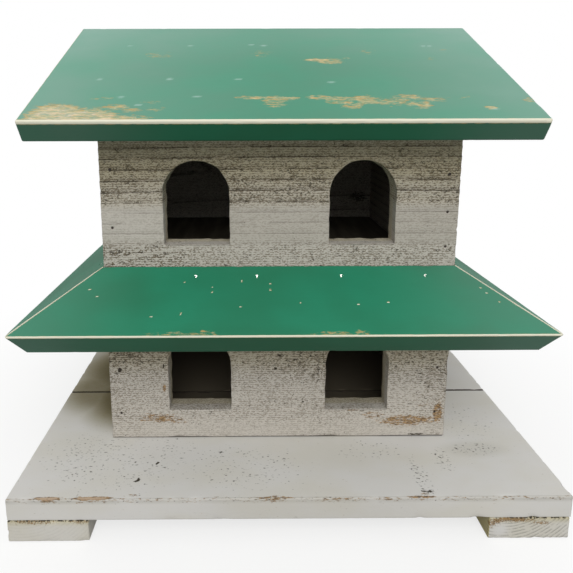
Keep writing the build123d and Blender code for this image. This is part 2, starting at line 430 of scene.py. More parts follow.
house_low, house_high = box_of("lower_front_wall", "lower_back_wall")
roof_low, roof_high = box_of("roof_front", "roof_back")
SKIRT_TOP = box_of("skirt_front", "skirt_back")[1][2]
base_low, base_high = box_of("base_plank_front", "base_plank_rear", "cleat_left", "cleat_right")
HOUSE_MIDDLE = (house_low[0] + house_high[0]) / 2
HOUSE_WIDTH, HOUSE_DEPTH, STOREY = house_high - house_low
print("house", round(HOUSE_WIDTH), "x", round(HOUSE_DEPTH), "mm, storey", round(STOREY, 1), "mm")

# %% [markdown]
# ## The wood's fields
# Each vertex carries a few numbers that the paint's shader reads. Growth is the distance from the
# tree's middle, bent a little, so its rings run over a board's face and end alike. Figure says how
# strongly the rings show through the paint, sawn where the saw left its teeth marks, and wear where
# bare wood shows. The stain field yellows or darkens the coat: a few stains, and mostly painted shade
# under the eaves, on the eave faces and beside the house. The grime field greys the coat, mostly as
# painted shade. Dark is where a joint gapes or a knot sits, edge where an arris is rubbed to the
# primer, and the haze field is a painted sheen of reflected light, with a few pale specks. Inside
# says how bare a face is that looks into a room; its dark colour there is partly painted shade.

# %% Growth rings and relief
FIELDS = ("figure", "sawn", "wear", "stain", "grime", "dark", "edge", "haze", "inside")
RING_STRETCH = np.array([9.0, 1.0, 1.0])
SOFT_WOOD_DEPTH = 0.30
TOOTH_DEPTH = 0.16
PIT_DEPTH = 0.10
WAVE_DEPTH = 0.25
CHIP_DEPTH = 1.1
CHIP_REACH = 2.2
PUNCH_DEPTH = 1.15


def growth_rings(grain, pith, sway, seed):
    """Distance from the pith line in the board's section, plus noise drawn out along the grain."""
    bent = noise(grain, 40.0 * RING_STRETCH, seed) + 0.3 * noise(grain, 13.0 * RING_STRETCH, seed + 1)
    return np.hypot(grain[:, 1] - pith[0], grain[:, 2] - pith[1]) + sway * bent


def rough_relief(local, growth, figure, sawn, seed):
    """How far the rough face lies below the board's true face, in mm: soft wood, saw teeth, pits."""
    phase = np.mod(growth, 1.0)
    soft = SOFT_WOOD_DEPTH * figure * smooth(phase, 0.0, 0.7) * (1 - smooth(phase, 0.86, 1.0))
    teeth = TOOTH_DEPTH * sawn * (0.5 + 0.5 * noise(local, (2.4, 9.0, 9.0), seed + 2))
    pits = PIT_DEPTH * (0.5 + 0.5 * noise(local, (7.0, 3.0, 3.0), seed + 3))
    waves = WAVE_DEPTH * (0.5 + 0.5 * noise(local, (90.0, 45.0, 45.0), seed + 4))
    return soft + teeth + pits + waves


def arris_chips(local, size, seed):
    """Extra depth close to two of the block's faces at once, where small chips have broken away."""
    gaps = np.sort(np.minimum(local, size - local), axis=1)
    near = 1 - smooth(gaps[:, 1], 0.0, CHIP_REACH)
    return near * CHIP_DEPTH * smooth(noise(local, (9.0, 5.0, 5.0), seed + 5), 0.25, 0.9)


def dimples(local, thickness, nails, pit):
    """A small round pit over each punched nail, flat out to its first radius and gone at its second."""
    depth = np.zeros(len(local))
    for x, y in nails:
        reach = np.hypot(local[:, 0] - x, local[:, 1] - y)
        depth = np.maximum(depth, PUNCH_DEPTH * (1 - smooth(reach, *pit)))
    return np.where(local[:, 2] >= thickness, depth, 0.0)


print("rings are drawn out", RING_STRETCH[0], "times along the grain")

# %% [markdown]
# ## One function for every board
# A board has a straight block, a bend that takes the block to its real place, and fields. The relief
# only goes inwards, so the dressed board never leaves the size of the plain one.

# %% Build a board
THICKNESS_CELL = 3.0


def mesh_of(name, points, quads, fields, material):
    """A mesh in metres with its vertex fields and one material, smooth shaded."""
    mesh = bpy.data.meshes.new(name)
    mesh.vertices.add(len(points))
    mesh.vertices.foreach_set("co", (points * MM).astype(np.float32).ravel())
    mesh.loops.add(quads.size)
    mesh.loops.foreach_set("vertex_index", quads.astype(np.int32).ravel())
    mesh.polygons.add(len(quads))
    mesh.polygons.foreach_set("loop_start", np.arange(0, quads.size, 4, dtype=np.int32))
    mesh.polygons.foreach_set("use_smooth", np.ones(len(quads), bool))
    mesh.update(calc_edges=True)
    mesh.validate()
    for field_name, values in fields.items():
        attribute = mesh.attributes.new(field_name, "FLOAT", "POINT")
        attribute.data.foreach_set("value", values.astype(np.float32))
    mesh.materials.append(material)
    return mesh


def board(name, node, slot, material, size, cell, bend, seed, stops=None, cuts=(), shape=None,
          nails=(), pit=WALL_NAIL_PIT, ease=1.2, pith=(60.0, -40.0), sway=7.0, spacing=7.0,
          rough=1.0, chips=1.0, marks=None, **levels):
    """Lattice, skin, rounding, shape, bend, relief, mesh: the piece replaces its CAD node. Ease is
    the arrises' radius, pith the tree's middle in the board's section, spacing the rings' distance;
    levels are fields that are the same all over, and marks gives those that vary."""
    size = np.array(size, float)
    stops = stops or [(0.0, side) for side in size]
    nail_lines = ([x for x, _ in nails], [y for _, y in nails], ())
    cells = (cell, cell, max(cell, THICKNESS_CELL))
    lines = [knots(*line) for line in zip(stops, cells, (ease,) * 3, nail_lines)]
    wood = np.ones([len(line) - 1 for line in lines], bool)
    for (left, right), (low, high) in cuts:
        middles = [(line[:-1] + line[1:]) / 2 for line in lines[:2]]
        inside = [(m > a) & (m < b) for m, (a, b) in zip(middles, ((left, right), (low, high)))]
        wood[np.ix_(inside[0], inside[1], np.ones(wood.shape[2], bool))] = False
    index, quads = lattice_skin(wood)
    local = np.stack([line[i] for line, i in zip(lines, index.T)], axis=1)
    chipped = chips * arris_chips(local, size, seed)
    eased = rounded(local, size, ease)
    for cut in cuts:
        eased = rounded_cut(eased, cut, size[2], ease)
    if shape:
        local, eased = shape(local), shape(eased)
    points = bend(eased)
    growth = growth_rings(local, pith, sway, seed) / spacing
    fields = {key: np.full(len(local), levels.get(key, 0.0)) for key in FIELDS}
    fields["growth"] = growth
    if marks:
        fields.update(marks(local, points))
    depth = rough * rough_relief(local, growth, fields["figure"], fields["sawn"], seed)
    depth = np.maximum(depth + chipped, dimples(local, size[2], nails, pit))
    points = points - vertex_normals(points, quads) * depth[:, None]
    piece = bpy.data.objects.new(name, mesh_of(name, points, quads, fields, material))
    bpy.context.scene.collection.objects.link(piece)
    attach(piece, "root")
    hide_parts(node)
    print(name, len(quads), "faces")


# %% [markdown]
# ## White paint on rough-sawn boards
# Thin white emulsion on rough wood, rubbed down by weather: dead matt, so no highlight hides how rough
# the wood is. The paint stays in smooth places, and small brown flecks show in rows where the saw tore
# the wood: noise makes the flecks, and a wave as narrow as the saw's marks gathers them into rows. Late
# wood of each ring shows as a thin dark line. The board's own fields steer where all this is strong.
# Flecks, pits and saw rows have their real sizes. Fibres are a tenth of a millimetre, too fine for
# the picture, so the streaks are drawn about a millimetre wide.

# %% White paint
WHITE_COAT = linear("#d2d0cc")
WHITE_WARM = linear("#cfccc4")
# a film of dirt on the upright walls, and painted shade that keeps them darker than the base's top
WALL_FILM_AND_SHADE = linear("#c3beb7")
FLECK = linear("#5e5038")
FLECK_DARK = linear("#3a3328")
BROWN_WOOD = linear("#a07f50")
BROWN_DARK = linear("#57412a")
TAN_PATCH = linear("#bda286")
# yellowish tint of stains, and of painted shade under the eaves, beside the house and on a cleat's inner
# side
OLIVE_SHADE = linear("#e0d5a2")
# grey tint, mostly painted shade: beside the house, on the base's front arris and on the upper front
GRIME_AND_SHADE_TINT = linear("#86806a")
# bare wood in the rooms, so dark that it is also painted shade
BARE_AND_SHADED_INSIDE = linear("#6b6252")
SAW_PITCH = 2.1 * MM
WAVE_UNIT = np.pi / 10  # a wave texture of scale 1 repeats after this many metres


def white_paint(name, grain):
    """Dirt film and painted shade, saw rows, pits, ring lines, worn places, dark joints, stains and
    painted shade, and bare inner faces that are dark also as painted shade.
    """
    material, node = new_material(name)
    growth, figure, sawn, wear, stain, grime, dark, inside = fields_of(
        node, "growth", "figure", "sawn", "wear", "stain", "grime", "dark", "inside")
    patches = grain_of(node, 38.0, drawn_out(grain, 2.0), 3.0)
    rows = grain_of(node, 0.80, drawn_out(grain, 2.2), 2.0, 0.6)
    place = node("TexCoord", output="Object")
    saw = node("TexWave", {"Vector": place, "Scale": WAVE_UNIT / SAW_PITCH, "Distortion": 0.6},
               output="Fac", bands_direction="Z")
    crumbs = grain_of(node, 2.6, drawn_out(grain, 1.7), 2.0, 0.6)
    pits = grain_of(node, 2.0, drawn_out(grain, 1.7), 4.0, 0.75)
    specks = grain_of(node, 1.5, drawn_out(grain, 1.8), 1.0)
    streaks = grain_of(node, 1.1, drawn_out(grain, 4.0), 3.0, 0.7)
    phase = node("Math", total(node, growth, (crumbs, 0.15)), operation="FRACT")
    line = node("ValToRGB", phase, ramp=[(0.0, 1.0), (0.06, 0.9), (0.11, 0.0), (0.55, 0.0), (0.98, 0.35)])
    broken = node("MapRange", grain_of(node, 6.0, drawn_out(grain, 4.0), 3.0, 0.7), 0.38, 0.52)
    ring = node("Math", node("Math", line, broken, operation="MULTIPLY"), figure, operation="MULTIPLY")
    torn = total(node, rows, (patches, 0.20), (ring, 0.10), (saw, 0.11))
    row = node("Math", node("MapRange", torn, 0.64, 0.73, 0.0, 1.05), sawn, operation="MULTIPLY")
    pit = node("MapRange", total(node, pits, (patches, 0.14), (sawn, 0.16), (ring, 0.05)), 0.76, 0.81)
    worn = total(node, -1.2, (wear, 1.0), (streaks, 2.4))
    wood = coats(node, BROWN_WOOD, (node("MapRange", rows, 0.45, 0.58), BROWN_DARK),
                 (node("MapRange", wear, 0.85, 1.0), TAN_PATCH))
    gap = total(node, -0.6, (dark, 1.0), (specks, 1.2))
    # share of the yellowish tint: stains and painted shade, broken up a little
    shade_and_stain = node("Math", stain, total(node, 0.7, (crumbs, 0.6)), operation="MULTIPLY")
    knot = coats(node, BARE_AND_SHADED_INSIDE, (node("Math", dark, 0.9, operation="MULTIPLY"), FLECK_DARK))
    colour = coats(node, WHITE_COAT,
                   (node("MapRange", patches, 0.40, 0.62), WHITE_WARM),
                   (node("MapRange", sawn, 0.0, 0.25), WALL_FILM_AND_SHADE),
                   (row, FLECK),
                   (node("Math", pit, 0.85, operation="MULTIPLY"), FLECK_DARK),
                   (node("Math", ring, 0.85, operation="MULTIPLY"), FLECK_DARK),
                   (node("MapRange", worn, 0.45, 0.70, 0.0, 0.9), wood),
                   (node("MapRange", gap, 0.42, 0.62), FLECK_DARK),
                   # stains and painted shade multiply the coat, and inner faces take dark bare wood, partly
                   # painted shade
                   (shade_and_stain, OLIVE_SHADE, "MULTIPLY"),
                   (grime, GRIME_AND_SHADE_TINT, "MULTIPLY"),
                   (inside, knot))
    height = total(node, 0.0, (row, -0.5), (ring, -0.8), (crumbs, 0.5), (pit, -0.8))
    bump = node("Bump", {"Height": height, "Strength": 0.5, "Distance": 0.3 * MM})
    paint = {"Base Color": colour, "Roughness": 0.85, "IOR": 1.45, "Normal": bump}
    node("OutputMaterial", node("BsdfPrincipled", paint))
    return material


white_x = white_paint("white_emulsion_on_sawn_board_x", "X")
white_y = white_paint("white_emulsion_on_sawn_board_y", "Y")
print("white paints:", white_x.name, white_y.name)

# %% [markdown]
# ## Green paint on planed boards
# Oil paint brushed on planed boards: smooth and half glossy, so the pale room lies on it as a haze.
# That haze is also painted into the colour as a pale sheen. The eave faces and the skirt's side panels
# are painted darker as shade, and the undersides are darker too.
# The side panels of the skirt have weathered duller. Where the paint is rubbed through, tan wood shows
# inside a thin rim of cream primer, and along the eaves' front arrises the primer is a clean line.
# Brush marks are about half a millimetre apart, too fine for the picture, so they are drawn at 2.2.

# %% Green paint
GREEN_COAT = linear("#1f805f")
GREEN_DEEP = linear("#1b7453")
# dark green of painted shade on the eave faces and the skirt's side panels, and of darker undersides
GREEN_SHADE = linear("#062a10")
# pale tint of a painted sheen, the reflected light on the gloss, and of a few pale specks
SHEEN_AND_SPECK_TINT = linear("#b4cdc6")
CREAM_PRIMER = linear("#e0ddc9")
TAN_WOOD = linear("#b3945c")
TAN_PALE = linear("#d0c298")
TAN_PINK = linear("#dccab0")
SEMI_GLOSS = 0.16
DULL_GLOSS = 0.03


def green_paint(name, grain, gloss):
    """Painted sheen and pale specks, painted shade, worn places with their rim, and rubbed arrises over the
    coat.
    """
    material, node = new_material(name)
    wear, stain, haze, edge = fields_of(node, "wear", "stain", "haze", "edge")
    clouds = grain_of(node, 45.0, drawn_out(grain, 1.5), 2.0)
    brush = grain_of(node, 2.2, drawn_out(grain, 6.0), 3.0, 0.6)
    ragged = grain_of(node, 5.0, drawn_out(grain, 2.2), 4.0, 0.75)
    streaks = grain_of(node, 1.4, drawn_out(grain, 4.5), 3.0, 0.65)
    scraped = grain_of(node, 0.9, drawn_out(grain, 7.0), 2.0, 0.6)
    # painted sheen of reflected light, with the pale specks, laid on as a pale tint
    sheen_speck_share = node("Math", haze, total(node, 0.6, (clouds, 0.8)), operation="MULTIPLY")
    frayed = total(node, -1.7, (ragged, 1.7), (streaks, 1.7), (wear, 1.0))
    worn = node("Math", frayed, node("MapRange", wear, 0.02, 0.25), operation="MULTIPLY")
    bare = node("MapRange", worn, 0.72, 1.02)
    covered = node("Math", bare, node("MapRange", scraped, 0.40, 0.56, 0.30, 0.95), operation="MULTIPLY")
    wood = coats(node, TAN_PALE, (node("MapRange", streaks, 0.40, 0.62), TAN_WOOD),
                 (node("MapRange", worn, 1.25, 1.7), TAN_PINK))
    rubbed = total(node, -0.05, (edge, 1.0), (ragged, 0.10))
    frays = node("MapRange", streaks, 0.40, 0.60, 0.0, 0.7)
    fringe = node("Math", node("MapRange", rubbed, 0.34, 0.44), frays, operation="MULTIPLY")
    colour = coats(node, GREEN_COAT,
                   (node("MapRange", clouds, 0.35, 0.65), GREEN_DEEP),
                   (node("MapRange", brush, 0.4, 0.7, 0.0, 0.15), GREEN_DEEP),
                   (sheen_speck_share, SHEEN_AND_SPECK_TINT),
                   # painted shade on the eave faces and side panels, and darker undersides
                   (stain, GREEN_SHADE),
                   (covered, wood),
                   (fringe, TAN_WOOD),
                   (node("MapRange", rubbed, 0.47, 0.53), CREAM_PRIMER))
    dull = node("Math", bare, node("MapRange", rubbed, 0.40, 0.50), operation="MAXIMUM")
    rough = node("MapRange", dull, 0.0, 1.0, 0.45, 0.8)
    bump = node("Bump", {"Height": total(node, 0.0, (bare, -1.0), (brush, 0.25)), "Strength": 0.4,
                         "Distance": 0.25 * MM})
    paint = {"Base Color": colour, "Roughness": rough, "Specular IOR Level": gloss, "Normal": bump}
    node("OutputMaterial", node("BsdfPrincipled", paint))
    return material


green_x = green_paint("green_oil_paint_on_planed_board_x", "X", SEMI_GLOSS)
green_y = green_paint("green_oil_paint_on_planed_board_y", "Y", DULL_GLOSS)
print("green paints:", green_x.name, green_y.name)

# %% [markdown]
# ## The base
# Three planks lie side by side on two cleats, their grain left to right. A plank's block is as long
# as the base, so its bend is only a move to its place. The marks are placed in the base's own plan:
# u runs from its left end and v back from its front arris.

# %% Planks
BASE_ARRIS_WEAR = [(33, 1.5, 16, 2.4, 1.15), (68, 1.5, 24, 2.2, 1.1), (100, 4.5, 16, 0.9, 0.7),
                   (125, 1, 12, 1, 0.5), (168, 1.5, 10, 1.2, 0.5), (212, 1, 24, 1.8, 0.75),
                   (262, 0, 22, 1, 0.5), (300, 0, 22, 1, 0.5), (328, 1, 20, 1.6, 0.8),
                   (333, 4, 5, 1.6, 0.7), (362, 3, 9, 1, 0.6)]
BASE_PITTED = [(80, 46, 120, 70, 0.26), (50, 40, 50, 50, 0.28), (190, 32, 90, 46, 0.26),
               (335, 22, 14, 40, 0.31), (362, 40, 14, 26, 0.30), (395, 52, 44, 12, 0.33),
               (300, 52, 60, 20, 0.25), (400, 90, 60, 50, 0.24)]
BASE_PITS = [(100, 19, 2.2, 3.0, 1.0), (104, 5, 3.0, 1.6, 0.8), (168, 50, 3.4, 1.0, 0.8),
             (185, 24, 1.6, 1.3, 0.9), (113, 37, 1.3, 1.2, 0.9), (46, 43, 2.0, 1.0, 0.8),
             (63, 55, 2.2, 1.0, 0.8), (335, 6, 7, 0.8, 0.7), (372, 7, 8, 0.8, 0.6), (60, 30, 1.6, 1.6, 0.9)]
# painted shadow of the house on the planks beside its left wall, and a faint stain at the front right
BASE_SHADOW_AND_STAIN = [(66, 134, 58, 66, 1.0), (36, 144, 62, 52, 0.8), (66, 186, 96, 78, 1.0),
             (60, 270, 80, 80, 0.5), (395, 52, 40, 13, 0.12)]
TOP_SKIN = 4.0  # the marks of a plank's top reach this far down
SEAM = 0.7  # width of the dark line along a joint
# the band below also greys the front arris as painted shade, where its rounding would catch a highlight
ARRIS_BAND = 1.2  # the rubbed strip along the front arris
# a thin broken dark line of painted shade along the front arris
ARRIS_SHADE = 1.4
CELL_OF_PLANK = {"front": 2.1, "middle": 3.0, "rear": 3.4}


def laid_flat(low):
    """Block axes: x along the grain, y across, z up; each point moves by the low corner."""
    return lambda p: p + low


def plank_marks(local, points):
    """Worn front arris with painted shade, pitted areas, painted shadow beside the house and a faint
    stain, dark seams, bare wood in the rooms that is dark also as painted shade.
    """
    u, v = points[:, 0] - base_low[0], points[:, 1] - base_low[1]
    in_house = np.all((points[:, :2] > house_low[:2] + 1) & (points[:, :2] < house_high[:2] - 1), axis=1)
    on_top = local[:, 2] > BOARD - TOP_SKIN
    seam = np.minimum(local[:, 1], local[:, 1].max() - local[:, 1]) < SEAM
    inner = (v > 5) & (v < base_high[1] - base_low[1] - 5)
    # painted shadow of the house beside its left wall, with the faint stain
    shade_and_stain = spots(u, v, BASE_SHADOW_AND_STAIN)
    # the front face is made darker towards its middle
    face_middle_darker = 0.12 * (1 - smooth(np.abs(u - 240), 40, 150)) * (v < 1)
    dark = [spots(u, v, BASE_PITS), spots(u, v, BASE_PITTED), 1.0 * (seam & inner), 0.26 * (v < ARRIS_SHADE)]
    return {"wear": on_top * np.maximum(spots(u, v, BASE_ARRIS_WEAR), 0.34 * (v < ARRIS_BAND)),
            "dark": on_top * np.maximum.reduce(dark),
            # the planks' tops in the rooms: bare wood, dark also as painted shade
            "inside": 1.0 * (in_house & on_top),
            "stain": on_top * 0.8 * shade_and_stain,
            # painted shadow beside the house; painted shade on the front arris; the front face darker
            # towards its middle
            "grime": np.where(on_top, np.maximum(0.95 * shade_and_stain, 0.25 * (v < ARRIS_BAND)), face_middle_darker)}


for number, (name, cell) in enumerate(CELL_OF_PLANK.items()):
    low, high = box_of("base_plank_" + name)
    board("plank_" + name, "base_plank_" + name, "white_paint", white_x, high - low, cell, laid_flat(low),
          seed=10 + number, pith=(50.0 + 60 * number, -70.0), spacing=6.0, rough=0.7, marks=plank_marks)

# %% [markdown]
# ## The cleats
# Two short boards lie front to back under the planks. Their front ends are end grain, so the rings
# show there as arcs, and the joint under the planks has a broken dark crack. Their marks are placed on
# that end: u from the base's left end, z up from the ground.

# %% Cleats
CLEAT_WEAR = [(402, 17, 26, 3.5, 0.9), (388, 14, 8, 6, 0.7), (425, 15, 14, 3, 0.6), (22, 18, 26, 3, 0.6),
              (58, 18, 14, 2, 0.6)]
CLEAN_PATCH = [(393, 8, 9, 7, 1.0)]
CLEAT_SPLIT = [(443, 8, 1.2, 12, 0.7)]
CRACK_FROM = 400  # on the right cleat the crack starts this far from the base's left end
CLEAT_CELL = 2.6
right_cleat_side = box_of("cleat_right")[0][0] - base_low[0]


def turned_flat(low, depth):
    """Block axes: grain along the frame's y, across along x; turned, so that no face is mirrored."""
    return lambda p: np.stack([low[0] + p[:, 1], low[1] + depth - p[:, 0], low[2] + p[:, 2]], axis=1)


def cleat_marks(local, points):
    """Rings on the end grain, a dark crack under the planks, a stained top and one clean patch; the
    right cleat's inner side is coloured with painted shade.
    """
    u, v, z = points[:, 0] - base_low[0], points[:, 1] - base_low[1], points[:, 2]
    at_end = v < 3
    right = points[:, 0] > 0
    crack = (z > BOARD - 1.0) & (~right | (u > CRACK_FROM))
    clean = spots(u, z, CLEAN_PATCH)
    # the right cleat's inner side is coloured with painted shade
    inner_side = right & (u < right_cleat_side + 0.6)
    return {"figure": np.where(at_end & right, 0.9 - 0.9 * clean, 0.15),
            "wear": at_end * spots(u, z, CLEAT_WEAR) * (1 - clean),
            "dark": at_end * (0.54 * crack + spots(u, z, CLEAT_SPLIT)),
            "stain": np.where(inner_side, 1.0, at_end * (0.12 * (1 - clean) + 0.5 * smooth(z, 13, 19)))}


for number, side in enumerate(("left", "right")):
    low, high = box_of("cleat_" + side)
    width, depth, height = high - low
    board("cleat_board_" + side, "cleat_" + side, "white_paint", white_y, (depth, width, height), CLEAT_CELL,
          turned_flat(low, depth), seed=20 + number, pith=(12.0, 55.0), sway=2.0, spacing=2.7, rough=0.8,
          marks=cleat_marks)

# %% [markdown]
# ## The doorways
# A doorway starts as a rectangle of missing cells. The arch could be cut with a boolean, but its edge
# would lose the fine cells. So the bend turns the square top into a half round: near it, a point's
# distance from the arch's middle shrinks by the ratio of its largest coordinate to its length, and the
# change fades out in the wood around. A little noise lets the sawn edge wander.

# %% Arched doorways
ARCH = DOOR_WIDTH / 2
ARCH_FADE = 26.0
SAW_WANDER = 0.5
WANDER_REACH = 5.0
door_middles = (HOUSE_WIDTH / 2 - DOOR_CENTRE, HOUSE_WIDTH / 2 + DOOR_CENTRE)
DOORWAYS = [((x - ARCH, x + ARCH), (DOOR_SILL, DOOR_SILL + DOOR_HEIGHT)) for x in door_middles]


def arched(p):
    """Square to disc: scale by m / e (m the larger coordinate, e the length), faded out past the arch."""
    p = p.copy()
    springing = DOOR_SILL + DOOR_HEIGHT - ARCH
    for middle in door_middles:
        x, z = p[:, 0] - middle, p[:, 1] - springing
        larger = np.maximum(np.abs(x), z)
        length = np.maximum(np.hypot(x, z), 1e-9)
        fade = 1 - smooth(larger, ARCH, ARCH + ARCH_FADE)
        scale = np.where(z > 0, 1 + (larger / length - 1) * fade, 1.0)
        p[:, 0] = middle + x * scale
        p[:, 1] = np.where(z > 0, springing + z * scale, p[:, 1])
        side = np.maximum(np.abs(x) - ARCH, np.maximum(z - ARCH, -z - springing + DOOR_SILL))
        near = 1 - smooth(np.abs(side), 0.0, WANDER_REACH)
        wander = SAW_WANDER * near * noise(p, (6.0, 6.0, 12.0), 7)
        p[:, 0] += wander * np.sign(x)
        p[:, 1] += wander
    return p


print("doorways' middles:", [round(x, 1) for x in door_middles], "mm from the wall's left end")

# %% [markdown]
# ## Walls stand up
# A wall's block lies flat, so one bend stands it up on any side of the house. Its outer face looks
# the way that is asked for, and its length runs a quarter turn on from there, so no face is mirrored.
# The upper walls' tops are bevelled to follow the roof.

# %% Stand a wall up
FRONT, BACK, LEFT, RIGHT = (0, -1), (0, 1), (-1, 0), (1, 0)
TOP_BEVEL_REACH = 30.0
ROOF_SLOPE = np.tan(np.radians(ROOF_PITCH))


def upright(low, high, out, top_bevel=0.0):
    """Block axes: x along the wall, y up, z out, which in plan is the direction out. The top rises by
    top_bevel times the depth below the outer face, and the rise fades out over TOP_BEVEL_REACH."""
    out = np.array(out)
    along = np.array([-out[1], out[0]])
    corner = np.where(along + out > 0, low[:2], high[:2])

    def bend(p):
        inner = BOARD - p[:, 2]
        lift = top_bevel * inner * np.clip((p[:, 1] - STOREY + TOP_BEVEL_REACH) / TOP_BEVEL_REACH, 0, 1)
        return np.column_stack([corner + p[:, :1] * along + p[:, 2:] * out, low[2] + p[:, 1] + lift])
    return bend


print("a roof slope of", round(ROOF_SLOPE, 3), "lifts the inner top by", round(ROOF_SLOPE * BOARD, 1), "mm")

# %% [markdown]
# ## The front and back walls
# The two front walls are one board each, cut alike, but weathered differently. The lower one is
# stippled all over and rubbed brown low down. The upper one shows long ring lines in its upper half,
# under the eave, and a paler, smoother band below. Under the eave and under the skirt the fronts get
# yellowish painted shade. The marks are placed on the wall: u from its left end, v up from its foot.
# The back walls have no doorways. Inner faces are bare wood whose dark colour is also painted shade:
# full in the lower rooms, and a tenth of it in the upper ones.

# %% Front and back walls
LOWER_WEAR = [(43, 20, 30, 7, 0.62), (62, 17, 16, 5, 0.5), (275, 16, 40, 9, 0.75), (303, 24, 7, 18, 0.8),
              (50, 50, 2.6, 6, 0.9), (224, 27, 9, 1.4, 0.8), (242, 22, 18, 5, 0.5), (290, 32, 16, 3, 0.45)]
LOWER_PITS = [(156, 82, 6, 2.5, 0.8), (171, 78, 3, 2, 0.9), (152, 69, 2, 2.4, 1.0), (184, 81, 2, 2, 0.9),
              (10, 68, 3, 3, 0.8), (5, 75, 2, 1.5, 0.8), (50, 72, 1.6, 3, 0.8), (166, 62, 1.6, 2, 0.7),
              (152, 36, 2, 2, 0.7), (178, 36, 5, 1.4, 0.6), (284, 2, 12, 1.2, 0.9), (277, 33, 5, 1, 0.6)]
UPPER_STREAK = ((0.0, 12.0), (112.0, 33.0))
UPPER_NAIL_STAINS = [(300, 89, 2.5, 2.5, 0.8), (10, 94, 2.5, 2.5, 0.7)]
UPPER_INNER_KNOT = [(275, 28, 20, 12, 0.6)]
FRONT_CELL = 1.4
BACK_CELL = 4.0


def lower_marks(local, points):
    """Stippled rows all over, denser near the top and the ends; brown rubs low down; a dark foot line;
    yellowish painted shade towards the top, under the skirt.
    """
    u, v = local[:, 0], local[:, 1]
    out = local[:, 2] > BOARD / 2
    top = smooth(v, 45, 75)
    ends = 1 - smooth(np.minimum(u, HOUSE_WIDTH - u), 10, 45)
    foot = smooth(noise(points, (14.0, 9.0, 9.0), 3), -0.35, 0.05)
    return {"sawn": np.where(out, 0.50 + 0.22 * top + 0.10 * ends - 0.20 * (1 - smooth(v, 8, 26)), 0.4),
            "inside": 1.0 * (local[:, 2] < SKIN),
            "wear": out * spots(u, v, LOWER_WEAR),
            "dark": out * np.maximum(spots(u, v, LOWER_PITS), (v < SEAM) * foot),
            # a light even stain, and yellowish painted shade towards the top, under the skirt
            "stain": np.where(out, 0.35 * smooth(v, 58, 84) + 0.10, 0.5)}


def upper_marks(local, points):
    """Ring lines in the upper half, a smooth pale band below them, wavy stipple at the foot; yellowish
    painted shade under the eave, and grey painted shade over the front, more on the band.
    """
    u, v = local[:, 0], local[:, 1]
    out = local[:, 2] > BOARD / 2
    left = 1 - smooth(u, 55, 95)
    lines = smooth(v, 58, 68)
    foot = 1 - smooth(v, 22, 34)
    pale = (1 - lines) * (1 - foot) * (1 - 0.85 * left)
    (u0, v0), (u1, v1) = UPPER_STREAK
    off = np.abs(v - v0 - (v1 - v0) * (u - u0) / (u1 - u0))
    streak = (1 - smooth(off, 0.8, 1.8)) * (u < u1)
    rows = (0.75 - 0.2 * smooth(v, 90, 115)) * lines + 0.65 * foot + 0.18 * left * (1 - lines)
    # yellowish painted shade under the eave, strongest a little below its top
    yellow = 0.10 + 0.20 * lines + 0.30 * smooth(v, 72, 96) - 0.25 * smooth(v, 112, 124)
    return {"figure": np.maximum(lines, 0.45 * (1 - foot)) * np.where(out, 1.0, 0.3),
            # grey painted shade over the front, more on the pale band
            "grime": np.where(out, 0.10 + 0.12 * pale, 0.0),
            "sawn": np.clip(rows, 0, 1) * (1 - 0.6 * streak) + 0.25 * pale,
            "dark": out * spots(u, v, UPPER_NAIL_STAINS),
            "inside": 0.1 * (local[:, 2] < SKIN),
            "stain": np.where(out, yellow, 0.5)}


def inner_face(bare, inner_knots=()):
    """The inner face, bare to the given share, its dark colour partly painted shade, and its knots by u
    from the left end and v up.
    """
    def marks(local, points):
        inner = local[:, 2] < SKIN
        return {"inside": bare * inner,
                "dark": inner * spots(HOUSE_WIDTH - local[:, 0], local[:, 1], inner_knots)}
    return marks


def wall_nails(heights):
    """Nail places on a front wall: in line with the middles of the side walls behind it."""
    left, right = heights
    return [(BOARD / 2, z) for z in left] + [(HOUSE_WIDTH - BOARD / 2, z) for z in right]


wall_size = (HOUSE_WIDTH, STOREY, BOARD)
x_stops = sorted({0.0, HOUSE_WIDTH, *(edge for door in DOORWAYS for edge in door[0])})
z_stops = sorted({0.0, STOREY, *DOORWAYS[0][1]})
wall_stops = [x_stops, z_stops, (0.0, BOARD)]
# the sixth entry is how much the inner faces take dark bare wood, which is also painted shade
storeys = (("lower", 31, 0.0, LOWER_NAIL_HEIGHTS, lower_marks, 1.0, ()),
           ("upper", 32, ROOF_SLOPE, UPPER_NAIL_HEIGHTS, upper_marks, 0.1, UPPER_INNER_KNOT))

for storey, seed, bevel, heights, front_marks, bare, inner_knots in storeys:
    low, high = box_of(storey + "_front_wall")
    board(storey + "_front_board", storey + "_front_wall", "white_paint", white_x, wall_size, FRONT_CELL,
          upright(low, high, FRONT, bevel), seed=seed, stops=wall_stops, cuts=DOORWAYS, shape=arched,
          nails=wall_nails(heights), pith=(300.0, 60.0), sway=2.6, spacing=9.2, marks=front_marks,
          figure=0.10)
    low, high = box_of(storey + "_back_wall")
    board(storey + "_back_board", storey + "_back_wall", "white_paint", white_x, wall_size, BACK_CELL,
          upright(low, high, BACK, bevel), seed=seed + 5, pith=(60.0, -120.0), spacing=8.0,
          marks=inner_face(bare, inner_knots), figure=0.6, sawn=0.5, stain=0.15)

# %% [markdown]
# ## The side walls
# The lower ones are plain. The upper ones rise to a gable: their block is as high as the eaves, and
# each column of it is stretched up to the roof's underside. That is done before the rings are drawn,
# so they run level over the gable, as in a real board.

# %% Side walls
SIDE_CELL = 3.4


def gabled(depth, eaves):
    """Each height grows by the share that the roof has risen there above the eaves."""
    def shape(p):
        rise = ROOF_SLOPE * (depth / 2 - np.abs(p[:, 0] - depth / 2))
        return np.stack([p[:, 0], p[:, 1] * (1 + rise / eaves), p[:, 2]], axis=1)
    return shape


